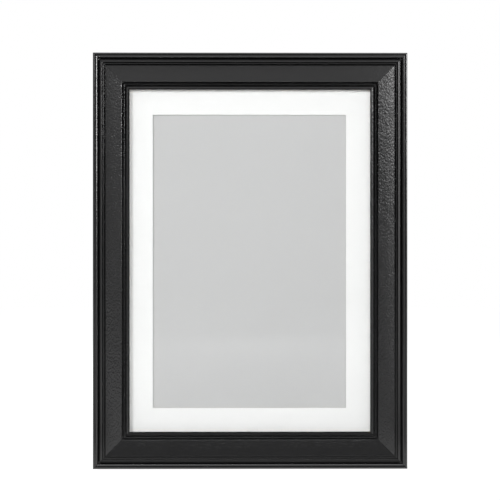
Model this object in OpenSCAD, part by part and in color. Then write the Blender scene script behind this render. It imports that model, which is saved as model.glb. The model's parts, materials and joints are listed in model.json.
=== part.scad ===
// Tabletop and wall picture frame: a black moulded frame with a window mat, a clear front
// sheet, a hardboard back held by turn buttons, a hinged easel leg and two folding rings.
//
// The frame stands upright. +Z is up, the front faces -Y, and +X is on the right when it is
// seen from the front. The origin is in the underside of the bottom rail, at the middle of its
// width, halfway between the rear face of the rails and the top of their outer bead.

/* [Picture] */
// Width of the picture size that the frame takes
picture_w = 130; // [110:5:200]
// Height of the picture size that the frame takes
picture_h = 180; // [150:5:300]
// Width of the window in the mat
window_w = 96; // [60:1:110]
// Height of the window in the mat
window_h = 145.5; // [90:0.5:165]

/* [Moulding] */
// Width of the moulding, seen from the front
rail_w = 17.8; // [16.5:0.1:30]
// Depth of the moulding, from its rear face to the top of the outer bead
rail_depth = 16; // [14.5:0.5:24]
// Width of the picture's edge that the lip covers
lip_overlap = 5.5; // [4:0.5:7]
// Thickness of the lip in front of the sheets
lip_t = 3.1; // [2.4:0.1:3.6]
// Radius of the large bead along the outer edge
outer_bead_r = 1.15; // [0.9:0.05:1.4]
// Radius of the second bead
mid_bead_r = 0.57; // [0.4:0.01:0.8]
// Radius of the small bead beside the picture
inner_bead_r = 0.45; // [0.3:0.05:0.6]

/* [Sheets] */
// Thickness of the clear front sheet
front_sheet_t = 1.2; // [0.8:0.1:2]
// Thickness of the mat board
mat_t = 1.3; // [0.8:0.1:2]
// Thickness of the paper insert behind the mat
insert_t = 0.3; // [0.2:0.1:0.5]
// Thickness of the hardboard back panel
panel_t = 2.5; // [2:0.1:3.5]
// Play between the sheets and each wall of the rebate
rebate_play = 0.5; // [0.2:0.1:1]

/* [Turn buttons] */
// Distance between the two turn buttons on a long side
side_button_gap = 105; // [60:1:120]
// Distance between the two turn buttons on a short side
end_button_gap = 80; // [72:1:90]
// Distance of each turn button's screw from the outer edge
button_inset = 6; // [5:0.5:7]
// Distance from the screw to the centre of the button's tip
button_reach = 8; // [7:0.5:10]
// Thickness of the turn buttons
button_t = 0.8; // [0.6:0.1:1.2]

/* [Easel leg] */
// Distance from the top edge of the frame down to the hinge pin
hinge_drop = 62.6; // [58:0.1:90]
// Height of the leg's foot above the underside of the frame, folded
foot_rise = 3.5; // [2:0.5:10]
// Width of the leg at the hinge
leg_top_w = 34; // [30:1:40]
// Width of the leg at the foot
leg_foot_w = 46; // [36:1:50]
// Thickness of the leg
leg_t = 2.5; // [2:0.1:3.5]
// Angle at which the hinge stops the open leg
leg_open_angle = 25; // [20:1:35]
// Thickness of the hinge leaves
leaf_t = 0.8; // [0.6:0.1:1]

/* [Hanging rings] */
// Distance from the top edge of the frame down to the upper ring's pivot
top_ring_drop = 28.5; // [26:0.5:32]
// Distance from the side edge of the frame in to the side ring's pivot
side_ring_inset = 21.3; // [20:0.1:26]
// Radius of the ring wire
ring_wire_r = 0.75; // [0.6:0.05:0.9]
// Radius of the ring's bow, to the middle of the wire
ring_bow_r = 6.5; // [6:0.1:7.5]
// Width of the straps that hold the rings
strap_w = 8; // [6:0.5:9]
// Thickness of the straps
strap_t = 0.7; // [0.5:0.1:0.9]

/* [Hidden] */
$fn = 48;

// Colours
moulding_black = [0.11, 0.11, 0.12];
clear_sheet = [0.85, 0.9, 0.92, 0.35];
mat_white = [0.98, 0.98, 0.97];
paper_grey = [0.8, 0.8, 0.8];
hardboard_brown = [0.42, 0.3, 0.2];
zinc = [0.72, 0.73, 0.74];
rivet_steel = [0.62, 0.63, 0.64];

// Every cut runs this far past the faces it opens
overrun = 1;
// Fits: a bright pin or wire that turns, a pin pressed in, and a screw or rivet in its hole
running_fit = 0.06;
tight_fit = 0.02;
hole_fit = 0.05;
// Air between a turn button and the faces above and below it
button_air = 0.1;

// Outer size and the level of each layer along Y
frame_w = picture_w + 2 * (rail_w - lip_overlap);
frame_h = picture_h + 2 * (rail_w - lip_overlap);
mid_z = frame_h / 2;
rear_y = rail_depth / 2;
panel_front_y = rear_y - panel_t;
insert_front_y = panel_front_y - insert_t;
mat_front_y = insert_front_y - mat_t;
sheet_front_y = mat_front_y - front_sheet_t;
rebate_depth = front_sheet_t + mat_t + insert_t + panel_t;
rebate_wall_u = rail_w - lip_overlap - rebate_play;

// Moulding profile, drawn with u inwards from the outer edge and v forwards from the rear face.
// The outer mouldings are placed down from the top of the outer bead.
rear_chamfer = 0.4;
groove_w = 1.1;
groove_r = 0.5;
groove_drop = 1.9;
mid_bead_drop = 1;
quirk_w = 0.26;
quirk_drop = 2.1;
ridge_r = 0.27;
ridge_drop = 1.8;
face_quirk_w = 0.6;
face_quirk_drop = 2.5;
face_drop = 2.1;
groove_u = 2 * outer_bead_r;
mid_bead_u = groove_u + groove_w;
quirk_u = mid_bead_u + 2 * mid_bead_r;
ridge_u = quirk_u + quirk_w;
face_quirk_u = ridge_u + 2 * ridge_r;
face_outer_u = face_quirk_u + face_quirk_w;
outer_bead_v = rail_depth - outer_bead_r;
mid_bead_v = rail_depth - mid_bead_drop - mid_bead_r;
ridge_v = rail_depth - ridge_drop - ridge_r;
// The inner mouldings are placed up from the front of the lip.
lip_w = 1.2;
lip_edge_r = 0.3;
cove_r = 0.5;
cove_sink = 0.2;
inner_bead_rise = 1;
step_w = 0.45;
face_inner_rise = 2.5;
lip_v = rebate_depth + lip_t;
cove_u = rail_w - lip_w - 2 * cove_r;
step_u = cove_u - 2 * inner_bead_r;
face_inner_u = step_u - step_w;
inner_bead_v = lip_v + inner_bead_rise;

// Angle nails pressed into the rear of each mitre
nail_t = 0.4;
nail_leg = 3.2;
nail_h = 7;
nail_sink = 0.2;
nail_places = [3, 7.2];

// Turn buttons and their screws
button_pivot_r = 4.5;
button_tip_r = 3;
screw_r = 1.4;
screw_head_r = 2.7;
screw_head_h = 1.6;
screw_dome = 0.6;
screw_depth = 7.5;
screw_tip = 2;
screw_tip_r = 0.3;
recess_l = 2.6;
recess_w = 0.55;
recess_h = 0.9;
button_y = rear_y + button_air;
screw_head_y = button_y + button_t + button_air;
side_x = frame_w / 2 - button_inset;
end_x = end_button_gap / 2;
low_z = mid_z - side_button_gap / 2;
high_z = mid_z + side_button_gap / 2;
top_z = frame_h - button_inset;
// Each row: place along X, place along Z, and the turn that points the button at the panel
button_top_left = [-end_x, top_z, 0];
button_top_right = [end_x, top_z, 0];
button_bottom_left = [-end_x, button_inset, 180];
button_bottom_right = [end_x, button_inset, 180];
button_left_upper = [-side_x, high_z, -90];
button_left_lower = [-side_x, low_z, -90];
button_right_upper = [side_x, high_z, 90];
button_right_lower = [side_x, low_z, 90];
buttons = [
    button_top_left, button_top_right, button_bottom_left, button_bottom_right,
    button_left_upper, button_left_lower, button_right_upper, button_right_lower
];

// Rivets
rivet_r = 1.2;
rivet_head_r = 2.3;
rivet_head_h = 0.9;
rivet_dome = 0.5;
rivet_tail_r = 1.9;
rivet_tail_h = 0.5;

// Hinge: the knuckles fill the depth of the folded leg, its leaf and a little air
leg_air = 0.46;
knuckle_r = (leg_air + leg_t + leaf_t) / 2;
pin_r = knuckle_r - leaf_t - running_fit;
pin_head_r = 1.4;
pin_head_t = 0.5;
knuckle_side_air = 0.3;
centre_knuckle_w = 10;
side_knuckle_w = 4.2;
leaf_edge_air = 0.32;
back_leaf_w = 30;
back_leaf_h = 18;
leg_leaf_w = 26.8;
leg_leaf_h = 20;
leaf_corner_r = 2.5;
ear_w = 3;
stop_air = 0.05;
back_rivet_gap = 18;
back_rivet_rise = 12;
leg_rivet_gap = 15;
leg_rivet_drop = 13;
hinge_z = frame_h - hinge_drop;
hinge_y = rear_y + knuckle_r;
leaf_edge = knuckle_r + leaf_edge_air;
side_knuckle_x = centre_knuckle_w / 2 + knuckle_side_air;
knuckle_end_x = side_knuckle_x + side_knuckle_w;
leg_leaf_y = rear_y + 2 * knuckle_r - leaf_t;
leg_front_y = leg_leaf_y - leg_t;
leaf_reach = knuckle_r - leaf_t;
ear_rise = (leaf_reach * (1 + cos(leg_open_angle)) - stop_air) / sin(leg_open_angle);

// Leg outline
leg_corner_r = 4;
foot_corner_r = 5;
arch_w = 15;
arch_h = 3;
leg_top_z = hinge_z - leaf_edge;

// Hanging rings
ring_fit = 0.08;
ring_side_l = 1.5;
strap_l = 14;
strap_rivet_drop = 10.8;
loop_r = ring_wire_r + ring_fit + strap_t;
ring_y = rear_y + loop_r;
top_ring_z = frame_h - top_ring_drop;
side_ring_x = frame_w / 2 - side_ring_inset;

// Unit vector along v
function unit(v) = v / norm(v);
// Angle between the two sides that meet at p
function corner_angle(a, p, b) = acos(unit(a - p) * unit(b - p));

// Polygon with its corners rounded to the given radii; a radius of 0 leaves a corner sharp
module rounded_outline(points, radii) {
    last = len(points) - 1;
    function before(i) = points[i == 0 ? last : i - 1];
    function after(i) = points[i == last ? 0 : i + 1];
    function half(i) = corner_angle(before(i), points[i], after(i)) / 2;
    function inset_point(i, other) = points[i] + unit(other - points[i]) * radii[i] / tan(half(i));
    polygon([
        for (i = [0 : last]) each radii[i] == 0 ? [points[i]]
            : [inset_point(i, before(i)), inset_point(i, after(i))]
    ]);
    for (i = [0 : last]) if (radii[i] > 0) {
        middle = unit(unit(before(i) - points[i]) + unit(after(i) - points[i]));
        translate(points[i] + middle * radii[i] / sin(half(i))) circle(radii[i]);
    }
}

// Flat plate t thick whose front face is at y, from a 2D outline drawn in X and Z
module plate(y, t) {
    translate([0, y + t, 0]) rotate([90, 0, 0]) linear_extrude(t) children();
}

// Stands a shape made along +Z so that it points to the rear, at the given place
module to_rear(x, y, z) {
    translate([x, y, z]) rotate([-90, 0, 0]) children();
}

// Cylinder along X about the given axis
module along_x(x, y, z, length, r) {
    translate([x, y, z]) rotate([0, 90, 0]) cylinder(h = length, r = r);
}

// Head with a slightly domed top, on the plane z = 0
module domed_head(r, h, dome) {
    ball_r = (r * r + dome * dome) / (2 * dome);
    rotate_extrude() intersection() {
        square([r, h]);
        translate([0, h - ball_r]) circle(ball_r, $fn = 96);
    }
}

// Section of the moulding
module rail_section() {
    difference() {
        union() {
            polygon([
                [rear_chamfer, 0],
                [rebate_wall_u, 0],
                [rebate_wall_u, rebate_depth],
                [rail_w, rebate_depth],
                [rail_w, lip_v - lip_edge_r],
                [rail_w - lip_edge_r, lip_v],
                [cove_u, lip_v],
                [cove_u, inner_bead_v],
                [face_inner_u, inner_bead_v],
                [face_inner_u, lip_v + face_inner_rise],
                [face_outer_u, rail_depth - face_drop],
                [face_outer_u, rail_depth - face_quirk_drop],
                [face_quirk_u, rail_depth - face_quirk_drop],
                [face_quirk_u, ridge_v],
                [ridge_u, ridge_v],
                [ridge_u, rail_depth - quirk_drop],
                [quirk_u, rail_depth - quirk_drop],
                [quirk_u, mid_bead_v],
                [mid_bead_u, mid_bead_v],
                [mid_bead_u, rail_depth - groove_drop],
                [groove_u, rail_depth - groove_drop],
                [groove_u, outer_bead_v],
                [0, outer_bead_v],
                [0, rear_chamfer]
            ]);
            translate([outer_bead_r, outer_bead_v]) circle(outer_bead_r);
            translate([mid_bead_u + mid_bead_r, mid_bead_v]) circle(mid_bead_r);
            translate([ridge_u + ridge_r, ridge_v]) circle(ridge_r);
            translate([cove_u - inner_bead_r, inner_bead_v]) circle(inner_bead_r);
            translate([rail_w - lip_edge_r, lip_v - lip_edge_r]) circle(lip_edge_r);
        }
        translate([groove_u + groove_w / 2, rail_depth - groove_drop]) circle(groove_r);
        translate([cove_u + cove_r, lip_v - cove_sink + cove_r]) circle(cove_r);
    }
}

// One rail along X with its outer edge on z = 0, its ends cut to 45 degree mitres
module mitred_rail(length) {
    intersection() {
        translate([-length / 2, rear_y, 0]) rotate([180, -90, 0])
            linear_extrude(length) rail_section();
        plate(-rear_y - overrun, rail_depth + 2 * overrun) polygon([
            [-length / 2 - overrun, -overrun],
            [length / 2 + overrun, -overrun],
            [0, length / 2]
        ]);
    }
}

// Turns what is made for the bottom of the frame about its centre, to another side
module on_side(turn, half) {
    translate([0, 0, mid_z]) rotate([0, turn, 0]) translate([0, 0, -half]) children();
}

// One angle nail, its corner at the given distance from the outer corner along X and Z
module angle_nail(place, grow) {
    leg = nail_leg + 2 * grow;
    t = nail_t + 2 * grow;
    h = nail_h + grow;
    translate([place - grow, rear_y - nail_sink - h, place - grow]) {
        cube([leg, h, t]);
        cube([t, h, leg]);
    }
}

// All nails: two in each corner, mirrored to the four corners
module angle_nails(grow) {
    for (x_side = [0, 1], z_side = [0, 1], place = nail_places)
        translate([0, 0, mid_z]) mirror([x_side, 0, 0]) mirror([0, 0, z_side])
            translate([-frame_w / 2, 0, -mid_z]) angle_nail(place, grow);
}

// Slots for the nails, open at the rear face
module nail_slots() {
    angle_nails(hole_fit);
    translate([0, nail_sink, 0]) angle_nails(hole_fit);
}

// Pilot holes for the turn button screws
module pilot_holes() {
    for (place = buttons)
        to_rear(place[0], rear_y - screw_depth - hole_fit, place[1])
            cylinder(h = screw_depth + hole_fit + overrun, r = screw_r + hole_fit);
}

module rail(length, turn, half) {
    color(moulding_black) difference() {
        on_side(turn, half) mitred_rail(length);
        nail_slots();
        pilot_holes();
    }
}

module top_rail() { rail(frame_w, 180, frame_h / 2); }
module bottom_rail() { rail(frame_w, 0, frame_h / 2); }
module left_rail() { rail(frame_h, 90, frame_w / 2); }
module right_rail() { rail(frame_h, -90, frame_w / 2); }
module corner_v_nails() { color(rivet_steel) angle_nails(0); }

// Sheet of the picture size whose front face is at y
module picture_sheet(y, t) {
    translate([-picture_w / 2, y, mid_z - picture_h / 2]) cube([picture_w, t, picture_h]);
}

module front_sheet() {
    color(clear_sheet) picture_sheet(sheet_front_y, front_sheet_t);
}

module window_mat() {
    color(mat_white) difference() {
        picture_sheet(mat_front_y, mat_t);
        translate([-window_w / 2, mat_front_y - overrun, mid_z - window_h / 2])
            cube([window_w, mat_t + 2 * overrun, window_h]);
    }
}

module photo_insert() {
    color(paper_grey) picture_sheet(insert_front_y, insert_t);
}

// Rivet whose head sits on the plane y and whose tail is sunk in the far face, grip behind it
module rivet(x, y, z, grip) {
    to_rear(x, y, z) domed_head(rivet_head_r, rivet_head_h, rivet_dome);
    to_rear(x, y - grip, z) cylinder(h = grip, r = rivet_r);
    to_rear(x, y - grip + hole_fit, z) cylinder(h = rivet_tail_h, r = rivet_tail_r);
}

// Hole for such a rivet, with a pocket for its tail
module rivet_hole(x, y, z, grip) {
    to_rear(x, y - grip - overrun, z) cylinder(h = grip + 2 * overrun, r = rivet_r + hole_fit);
    to_rear(x, y - grip - overrun, z)
        cylinder(h = rivet_tail_h + 2 * hole_fit + overrun, r = rivet_tail_r + hole_fit);
}

// Places of the rivets through the back panel and through the leg
module at_back_rivets() {
    for (side = [-1, 1]) translate([side * back_rivet_gap / 2, 0, hinge_z + back_rivet_rise])
        children();
}
module at_leg_rivets() {
    for (side = [-1, 1]) translate([side * leg_rivet_gap / 2, 0, hinge_z - leg_rivet_drop])
        children();
}
module at_strap_rivets() {
    translate([0, 0, top_ring_z - strap_rivet_drop]) children();
    translate([side_ring_x - strap_rivet_drop, 0, mid_z]) children();
}

module back_panel() {
    color(hardboard_brown) difference() {
        picture_sheet(panel_front_y, panel_t);
        at_back_rivets() rivet_hole(0, rear_y, 0, panel_t);
        at_strap_rivets() rivet_hole(0, rear_y, 0, panel_t);
    }
}

// Turn button: a wide round end on the screw and a narrower tip that bears on the panel
module turn_button(place) {
    slope = asin((button_pivot_r - button_tip_r) / button_reach);
    flank = [cos(slope), -sin(slope)];
    tip = [0, -button_reach];
    color(zinc) translate([place[0], 0, place[1]]) rotate([0, place[2], 0])
        plate(button_y, button_t) difference() {
            union() {
                circle(button_pivot_r);
                translate(tip) circle(button_tip_r);
                polygon([
                    button_pivot_r * flank,
                    [-button_pivot_r * flank[0], button_pivot_r * flank[1]],
                    [-button_tip_r * flank[0], tip[1] + button_tip_r * flank[1]],
                    tip + button_tip_r * flank
                ]);
            }
            circle(screw_r + ring_fit);
        }
}

module turn_button_top_left() { turn_button(button_top_left); }
module turn_button_top_right() { turn_button(button_top_right); }
module turn_button_bottom_left() { turn_button(button_bottom_left); }
module turn_button_bottom_right() { turn_button(button_bottom_right); }
module turn_button_left_upper() { turn_button(button_left_upper); }
module turn_button_left_lower() { turn_button(button_left_lower); }
module turn_button_right_upper() { turn_button(button_right_upper); }
module turn_button_right_lower() { turn_button(button_right_lower); }

// Pan head screw with a cross recess, through a turn button into the rail
module button_screw() {
    shank_l = screw_head_y - rear_y + screw_depth;
    difference() {
        domed_head(screw_head_r, screw_head_h, screw_dome);
        for (turn = [0, 90]) rotate([0, 0, turn])
            translate([-recess_l / 2, -recess_w / 2, screw_head_h - recess_h])
                cube([recess_l, recess_w, recess_h + overrun]);
    }
    translate([0, 0, screw_tip - shank_l]) cylinder(h = shank_l - screw_tip, r = screw_r);
    translate([0, 0, -shank_l]) cylinder(h = screw_tip, r1 = screw_tip_r, r2 = screw_r);
}

module turn_button_screws() {
    color(rivet_steel) for (place = buttons)
        to_rear(place[0], screw_head_y, place[1]) button_screw();
}

// Leaf riveted to the panel, with the two outer knuckles
module hinge_back_leaf() {
    color(zinc) difference() {
        union() {
            plate(rear_y, leaf_t) {
                rounded_outline([
                    [-back_leaf_w / 2, hinge_z + leaf_edge],
                    [back_leaf_w / 2, hinge_z + leaf_edge],
                    [back_leaf_w / 2, hinge_z + back_leaf_h],
                    [-back_leaf_w / 2, hinge_z + back_leaf_h]
                ], [0, 0, leaf_corner_r, leaf_corner_r]);
                for (x = [-knuckle_end_x, side_knuckle_x])
                    translate([x, hinge_z]) square([side_knuckle_w, back_leaf_h / 2]);
            }
            for (x = [-knuckle_end_x, side_knuckle_x])
                along_x(x, hinge_y, hinge_z, side_knuckle_w, knuckle_r);
        }
        along_x(-back_leaf_w / 2, hinge_y, hinge_z, back_leaf_w, pin_r + tight_fit);
        at_back_rivets() to_rear(0, rear_y - overrun, 0)
            cylinder(h = leaf_t + 2 * overrun, r = rivet_r + hole_fit);
    }
}

// Leaf riveted to the leg, with the middle knuckle and the two ears that stop the open leg
module hinge_leg_leaf() {
    ear_x = leg_leaf_w / 2 - ear_w;
    color(zinc) difference() {
        union() {
            plate(leg_leaf_y, leaf_t) {
                rounded_outline([
                    [-leg_leaf_w / 2, hinge_z - leg_leaf_h],
                    [leg_leaf_w / 2, hinge_z - leg_leaf_h],
                    [leg_leaf_w / 2, hinge_z - leaf_edge],
                    [-leg_leaf_w / 2, hinge_z - leaf_edge]
                ], [leaf_corner_r, leaf_corner_r, 0, 0]);
                translate([-centre_knuckle_w / 2, hinge_z - leg_leaf_h / 2])
                    square([centre_knuckle_w, leg_leaf_h / 2]);
                for (x = [-leg_leaf_w / 2, ear_x])
                    translate([x, hinge_z - leg_leaf_h / 2])
                        square([ear_w, leg_leaf_h / 2 + ear_rise]);
            }
            along_x(-centre_knuckle_w / 2, hinge_y, hinge_z, centre_knuckle_w, knuckle_r);
        }
        along_x(-centre_knuckle_w, hinge_y, hinge_z, 2 * centre_knuckle_w, pin_r + running_fit);
        at_leg_rivets() to_rear(0, leg_leaf_y - overrun, 0)
            cylinder(h = leaf_t + 2 * overrun, r = rivet_r + hole_fit);
    }
}

// Pin through the three knuckles, its ends headed over
module hinge_pin() {
    color(rivet_steel) {
        along_x(-knuckle_end_x, hinge_y, hinge_z, 2 * knuckle_end_x, pin_r);
        for (side = [0, 1]) mirror([side, 0, 0])
            translate([knuckle_end_x, hinge_y, hinge_z]) rotate([0, 90, 0])
                domed_head(pin_head_r, pin_head_t, pin_head_t / 2);
    }
}

module hinge_back_rivets() {
    color(rivet_steel) at_back_rivets() rivet(0, rear_y + leaf_t, 0, panel_t + leaf_t);
}

module hinge_leg_rivets() {
    color(rivet_steel) at_leg_rivets() rivet(0, leg_leaf_y + leaf_t, 0, leg_t + leaf_t);
}

// Leg: a tapered hardboard strip, wider at the foot, with a shallow arch between its two toes
module easel_leg() {
    arch_r = (arch_w * arch_w / 4 + arch_h * arch_h) / (2 * arch_h);
    color(hardboard_brown) difference() {
        plate(leg_front_y, leg_t) difference() {
            rounded_outline([
                [-leg_foot_w / 2, foot_rise],
                [leg_foot_w / 2, foot_rise],
                [leg_top_w / 2, leg_top_z],
                [-leg_top_w / 2, leg_top_z]
            ], [foot_corner_r, foot_corner_r, leg_corner_r, leg_corner_r]);
            translate([0, foot_rise + arch_h - arch_r]) circle(arch_r);
        }
        at_leg_rivets() rivet_hole(0, leg_leaf_y, 0, leg_t);
    }
}

// Strap along -X from the ring's pivot: the flat part on the panel and the loop round the ring
module hanger_strap() {
    difference() {
        union() {
            plate(rear_y, strap_t) {
                translate([-strap_l + strap_w / 2, 0]) circle(strap_w / 2);
                translate([-strap_l + strap_w / 2, -strap_w / 2])
                    square([strap_l - strap_w / 2, strap_w]);
            }
            translate([0, ring_y, -strap_w / 2]) cylinder(h = strap_w, r = loop_r);
        }
        translate([0, ring_y, -strap_w / 2 - overrun])
            cylinder(h = strap_w + 2 * overrun, r = ring_wire_r + ring_fit);
        to_rear(-strap_rivet_drop, rear_y - overrun, 0)
            cylinder(h = strap_t + 2 * overrun, r = rivet_r + hole_fit);
    }
}

// Ring folded back over its strap: a straight bar through the loop, two short sides and a bow
module hanging_ring() {
    translate([0, ring_y, 0]) {
        translate([0, 0, -ring_bow_r]) cylinder(h = 2 * ring_bow_r, r = ring_wire_r);
        for (z = [-ring_bow_r, ring_bow_r]) translate([0, 0, z]) {
            sphere(ring_wire_r);
            rotate([0, -90, 0]) cylinder(h = ring_side_l, r = ring_wire_r);
        }
        translate([-ring_side_l, 0, 0]) rotate([90, 0, 0]) rotate([0, 0, 90])
            rotate_extrude(angle = 180) translate([ring_bow_r, 0]) circle(ring_wire_r);
    }
}

// The side ring's pivot is upright, for hanging the frame on its long side
module at_side_ring() {
    translate([side_ring_x, 0, mid_z]) children();
}

// The upper ring is the same set turned so that its strap runs down
module at_top_ring() {
    translate([0, 0, top_ring_z]) rotate([0, -90, 0]) children();
}

module hanger_strap_top() { color(zinc) at_top_ring() hanger_strap(); }
module hanger_strap_side() { color(zinc) at_side_ring() hanger_strap(); }
module hanging_ring_top() { color(rivet_steel) at_top_ring() hanging_ring(); }
module hanging_ring_side() { color(rivet_steel) at_side_ring() hanging_ring(); }

module hanger_rivets() {
    color(rivet_steel) at_strap_rivets() rivet(0, rear_y + strap_t, 0, panel_t + strap_t);
}

top_rail();
bottom_rail();
left_rail();
right_rail();
corner_v_nails();
front_sheet();
window_mat();
photo_insert();
back_panel();
turn_button_top_left();
turn_button_top_right();
turn_button_bottom_left();
turn_button_bottom_right();
turn_button_left_upper();
turn_button_left_lower();
turn_button_right_upper();
turn_button_right_lower();
turn_button_screws();
hinge_back_leaf();
hinge_leg_leaf();
hinge_pin();
hinge_back_rivets();
easel_leg();
hinge_leg_rivets();
hanger_strap_top();
hanger_strap_side();
hanger_rivets();
hanging_ring_top();
hanging_ring_side();
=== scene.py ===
import json
import math

import bmesh
import bpy
from mathutils import Matrix, Vector


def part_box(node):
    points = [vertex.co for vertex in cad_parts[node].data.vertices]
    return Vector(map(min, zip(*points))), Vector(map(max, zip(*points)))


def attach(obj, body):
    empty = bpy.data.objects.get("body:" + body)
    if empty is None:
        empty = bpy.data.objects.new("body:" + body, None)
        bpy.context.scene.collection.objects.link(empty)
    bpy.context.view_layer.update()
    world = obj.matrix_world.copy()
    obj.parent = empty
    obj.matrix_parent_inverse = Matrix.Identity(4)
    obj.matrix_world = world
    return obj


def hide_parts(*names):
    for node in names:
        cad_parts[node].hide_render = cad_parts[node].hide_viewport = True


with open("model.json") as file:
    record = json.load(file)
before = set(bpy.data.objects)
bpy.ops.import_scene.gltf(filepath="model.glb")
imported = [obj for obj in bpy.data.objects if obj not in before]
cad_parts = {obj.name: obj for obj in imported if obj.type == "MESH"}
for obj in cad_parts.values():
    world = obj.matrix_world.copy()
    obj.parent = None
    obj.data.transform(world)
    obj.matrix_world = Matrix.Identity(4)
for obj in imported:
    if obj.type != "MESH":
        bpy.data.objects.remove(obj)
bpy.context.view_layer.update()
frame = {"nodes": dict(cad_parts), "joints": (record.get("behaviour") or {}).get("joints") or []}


# Moulding rails. Four lengths of one fibreboard moulding, milled to a stepped section of beads, a
# groove and a broad face that falls towards the picture, cut to 45 degree mitres, glued up and then
# sprayed satin black. The rear and the rebate stay raw, with a mist of lacquer near the outside.
MM = 0.001
RAIL_LOW, RAIL_HIGH = (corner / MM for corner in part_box("bottom_rail"))
FRAME_W = RAIL_HIGH.x - RAIL_LOW.x
FRAME_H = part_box("left_rail")[1].z / MM
RAIL_W = RAIL_HIGH.z
RAIL_D = RAIL_HIGH.y - RAIL_LOW.y
REAR_Y = RAIL_HIGH.y
MID_Z = FRAME_H / 2
REBATE_D = REAR_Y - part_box("front_sheet")[0].y / MM
REBATE_WALL = 11.8
OUTER_BEAD = 2.65
OUTER_EASE = 0.95
GROOVE = 0.85
GROOVE_FLOOR = RAIL_D - 3.2
MID_BEAD = 1.1
MID_BEAD_TOP = RAIL_D - 1.0
MID_BEAD_FALL = 0.3
MID_BEAD_EASE = 0.24
QUIRK = 0.32
QUIRK_FLOOR = RAIL_D - 3
RIDGE = 0.54
RIDGE_TOP = RAIL_D - 1.8
FACE_QUIRK = 0.56
FACE_QUIRK_FLOOR = RAIL_D - 3.7
BEADS_W = 6.0
FACE_TOP = RAIL_D - 2.1
FACE_EASE = 0.45
CROWN = 2.5
CROWN_FALL = 0.76
CROWN_EASE = 2.3
LIP_TOP = REBATE_D + 3.1
LIP = 1.45
LIP_FLAT = 0.5
LIP_FALL = 0.32
LIP_REACH = 0.1
LIP_UNDERCUT = 0.2
COVE = 0.95
COVE_FLOOR = LIP_TOP - 1.8
INNER_BEAD = 0.42
INNER_BEAD_TOP = LIP_TOP + 1.45
STEP = 0.85
STEP_FLOOR = LIP_TOP - 0.9
FACE_FOOT = LIP_TOP + 2.5
ARRIS = 0.14
FOOT_ARRIS = 0.28
LIP_ARRIS = 0.12
REAR_EASE = 0.4
MITRE_EASE = 0.06
FIT = 0.05
NAIL_T = 0.4
NAIL_LEG = 3.2
NAIL_DEPTH = 7.2
NAIL_PLACES = (3, 7.2)
SCREW_R = 1.4
SCREW_DEPTH = 7.5
PIVOTS = {
    joint["child"].removeprefix("button_"): Vector(joint["pos_m"]) / MM
    for joint in frame["joints"] if joint["child"].startswith("button_")
}
LACQUER_DEEP = "#0B0B0C"
LACQUER_TOP = "#121213"
BOARD_DARK = "#75583C"
BOARD_PALE = "#B6976F"
MIX_A, MIX_B, MIXED = 6, 7, 2  # the sockets of a Mix node that mixes colours


def linear(hex_colour):
    """Linear RGBA from an sRGB hex colour."""
    parts = [int(hex_colour[i:i + 2], 16) / 255 for i in (1, 3, 5)]
    return [c / 12.92 if c <= 0.04045 else ((c + 0.055) / 1.055) ** 2.4 for c in parts] + [1.0]


def add(tree, kind, settings=None, values=None, links=None):
    """Adds one node with its settings, input values and links."""
    node = tree.nodes.new(kind)
    for key, value in (settings or {}).items():
        setattr(node, key, value)
    for key, value in (values or {}).items():
        node.inputs[key].default_value = value
    for key, socket in (links or {}).items():
        tree.links.new(socket, node.inputs[key])
    return node


def finish_of(name, **values):
    """New material of the given name, with its node tree, its shader and its Object coordinates."""
    made = bpy.data.materials.new(name)
    made.use_nodes = True
    tree = made.node_tree
    shader = tree.nodes["Principled BSDF"]
    for key, value in values.items():
        shader.inputs[key.replace("_", " ")].default_value = value
    return made, tree, shader, add(tree, "ShaderNodeTexCoord").outputs["Object"]


def dress(shader, **sockets):
    """Links sockets to the shader's inputs of the same names."""
    for key, socket in sockets.items():
        shader.id_data.links.new(socket, shader.inputs[key.replace("_", " ")])


def mesh_of(bm, name):
    """Turns a bmesh into a mesh of the given name."""
    mesh = bpy.data.meshes.new(name)
    bm.to_mesh(mesh)
    bm.free()
    return mesh


def put(name, data):
    """New object with the given data, linked to the scene."""
    obj = bpy.data.objects.new(name, data)
    bpy.context.scene.collection.objects.link(obj)
    return obj


def surface(bm, at, corners):
    """Flat face from corners of (across, up, rounding), each placed by the function at. A rounding
    stops a trace short, so that two which share an edge don't meet in one point."""
    rows = [(bm.verts.new(at(across, up)), radius) for across, up, radius in corners]
    before = set(bm.faces)
    bm.faces.new([vert for vert, _ in rows])
    for vert, radius in rows:
        if radius:
            bmesh.ops.bevel(bm, geom=[vert], offset=radius * 0.999, offset_type="OFFSET",
                            segments=4 if radius < 0.2 else 9, profile=0.5, affect="VERTICES",
                            material=-1, clamp_overlap=False)
    bmesh.ops.remove_doubles(bm, verts=bm.verts, dist=0.005)
    return next(face for face in bm.faces if face not in before)


def pull(bm, faces, vector):
    """Extrudes faces and moves their far ends; returns the far faces."""
    made = bmesh.ops.extrude_face_region(bm, geom=faces)["geom"]
    far = [part for part in made if isinstance(part, bmesh.types.BMFace)]
    bmesh.ops.translate(bm, verts=list({v for face in far for v in face.verts}), vec=vector)
    bmesh.ops.recalc_face_normals(bm, faces=bm.faces)
    return far


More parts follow.
